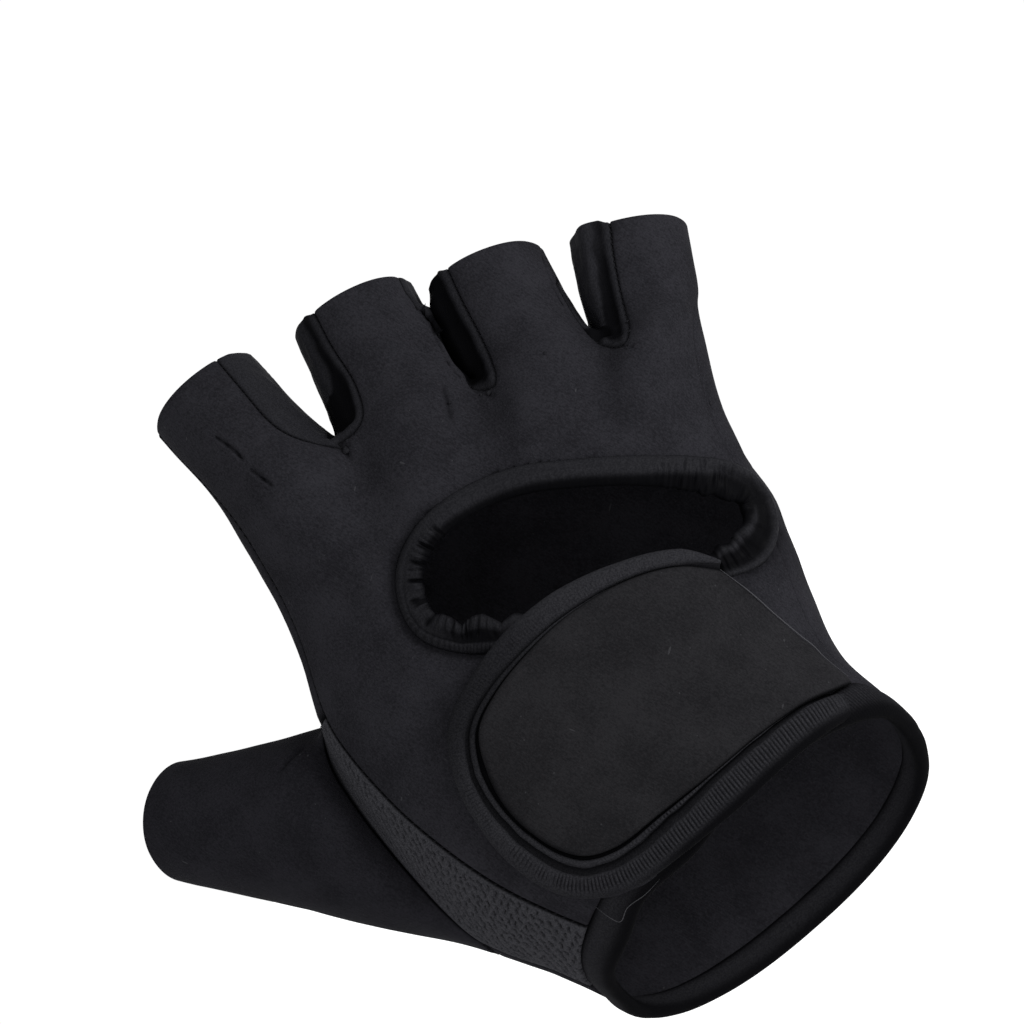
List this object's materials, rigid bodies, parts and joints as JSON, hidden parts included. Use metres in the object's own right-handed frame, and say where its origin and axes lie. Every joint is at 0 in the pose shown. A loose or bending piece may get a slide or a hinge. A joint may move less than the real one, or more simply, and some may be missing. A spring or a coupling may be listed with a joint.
{
  "type": "fitness glove",
  "caption": "Short-fingered right-hand glove: cloth panels, gussets between the fingers, an oval opening over the back, a strap tab across the wrist and netting beside the thumb.",
  "frame": {"origin": "middle of the wrist opening, where the hand goes in", "axes": "+Z towards the fingertips, back of the hand to -Y, palm to +Y, thumb to -X"},
  "size_m": [0.1381, 0.0594, 0.1396],
  "materials": {
    "cloth": "matt knitted stretch cloth",
    "gusset": "smooth stretch cloth with a slight sheen",
    "elastic": "gathered elastic with a slight sheen",
    "tape": "ribbed binding tape",
    "netting": "matt netting",
    "fastener": "matt hook patch"
  },
  "bodies": {
    "root": {"back_panel": "cloth", "palm_panel": "cloth", "thumb_sleeve": "cloth", "side_mesh": "netting", "fourchette_index_middle": "gusset", "fourchette_middle_ring": "gusset", "fourchette_ring_little": "gusset", "opening_binding": "elastic", "strap_tab": "cloth", "strap_binding": "tape", "closure_patch": "fastener", "wrist_binding": "tape"}
  },
  "joints": []
}
